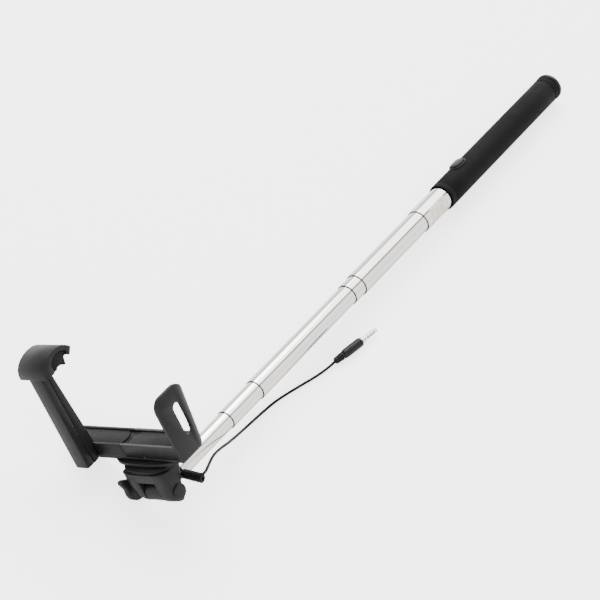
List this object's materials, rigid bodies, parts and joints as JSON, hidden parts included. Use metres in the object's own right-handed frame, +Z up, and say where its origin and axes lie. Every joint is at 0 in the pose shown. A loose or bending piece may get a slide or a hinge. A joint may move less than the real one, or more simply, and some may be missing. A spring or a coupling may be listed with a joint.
{
  "type": "selfie stick",
  "caption": "Telescopic metal pole with a rubber grip and button, a tilting head with a spring phone holder, and a curly cord ending in a headphone plug.",
  "frame": {"origin": "centre of the underside of the stick as it lies on a table, without its cord", "axes": "+Y along the pole towards the handle, +Z up, +X to the side that the cord lies on"},
  "size_m": [0.1419, 0.5364, 0.0984],
  "materials": {
    "black_plastic": "satin moulded",
    "board": "lacquered",
    "cord_jacket": "satin",
    "dark_plastic": "matt moulded",
    "grip_rubber": "matt",
    "pad_rubber": "matt",
    "screw_steel": "plain",
    "stainless": "polished"
  },
  "bodies": {
    "handle": {"grip_sleeve": "grip_rubber", "end_cap": "black_plastic", "lead_anchor": "dark_plastic", "button_bezel": "black_plastic", "switch_board": "board", "dome_contact": "screw_steel", "pole_tube_1": "stainless"},
    "button": {"shutter_button": "black_plastic"},
    "tube_2": {"pole_tube_2": "stainless", "guide_bush_2": "dark_plastic"},
    "tube_3": {"pole_tube_3": "stainless", "guide_bush_3": "dark_plastic"},
    "tube_4": {"pole_tube_4": "stainless", "guide_bush_4": "dark_plastic"},
    "tube_5": {"pole_tube_5": "stainless", "guide_bush_5": "dark_plastic"},
    "tube_6": {"pole_tube_6": "stainless", "guide_bush_6": "dark_plastic", "pole_eye": "black_plastic", "cord_gland": "black_plastic", "cord_coil": "cord_jacket", "free_cord": "cord_jacket", "plug_relief": "cord_jacket", "plug_body": "black_plastic", "plug_pin": "stainless"},
    "head": {"hinge_housing": "black_plastic", "hinge_cap": "black_plastic", "swivel_collar": "black_plastic", "swivel_rivet": "screw_steel"},
    "knob": {"tilt_knob": "black_plastic", "hinge_pin": "screw_steel"},
    "holder": {"swivel_plate": "black_plastic", "base_shell": "black_plastic", "base_pad": "pad_rubber", "base_screw_left": "screw_steel", "base_screw_right": "screw_steel", "arm_front_cover": "black_plastic", "arm_back_cover": "black_plastic", "hook_spring": "screw_steel"},
    "side_jaw": {"side_jaw": "black_plastic", "jaw_pad": "pad_rubber"},
    "hook": {"hook_shell": "black_plastic", "hook_liner": "pad_rubber"}
  },
  "joints": [
    {"name": "button_press", "type": "slide", "parent": "handle", "child": "button", "axis": [0.565, -0.0161, -0.825], "range_m": [0, 0.0005], "stiffness_N_per_m": 800, "springref_m": -0.001},
    {"name": "pole_slide_2", "type": "slide", "parent": "handle", "child": "tube_2", "axis": [0, -0.9998, 0.0195], "range_m": [-0.0814, 0.0556]},
    {"name": "pole_slide_3", "type": "slide", "parent": "tube_2", "child": "tube_3", "axis": [0, -0.9998, 0.0195], "range_m": [-0.0094, 0.1166]},
    {"name": "pole_slide_4", "type": "slide", "parent": "tube_3", "child": "tube_4", "axis": [0, -0.9998, 0.0195], "range_m": [-0.1117, 0.0033]},
    {"name": "pole_slide_5", "type": "slide", "parent": "tube_4", "child": "tube_5", "axis": [0, -0.9998, 0.0195], "range_m": [-0.0308, 0.0732]},
    {"name": "pole_slide_6", "type": "slide", "parent": "tube_5", "child": "tube_6", "axis": [0, -0.9998, 0.0195], "range_m": [-0.0519, 0.0411]},
    {"name": "head_tilt", "type": "hinge", "parent": "tube_6", "child": "head", "pos_m": [0.04577, -0.25615, 0.02149], "axis": [0.8251, 0.011, 0.5649], "range_deg": [0, 170]},
    {"name": "knob_turn", "type": "hinge", "parent": "head", "child": "knob", "pos_m": [0.04577, -0.25615, 0.02149], "axis": [0.8251, 0.011, 0.5649], "continuous": true},
    {"name": "holder_swivel", "type": "hinge", "parent": "head", "child": "holder", "pos_m": [0.03447, -0.25183, 0.03791], "axis": [-0.565, 0.0161, 0.825], "range_deg": [-90, 90]},
    {"name": "jaw_slide", "type": "slide", "parent": "holder", "child": "side_jaw", "axis": [0.8251, 0.011, 0.5649], "range_m": [0, 0.025]},
    {"name": "hook_slide", "type": "slide", "parent": "holder", "child": "hook", "axis": [-0.565, 0.0161, 0.825], "range_m": [0, 0.028], "stiffness_N_per_m": 150, "springref_m": -0.012}
  ]
}
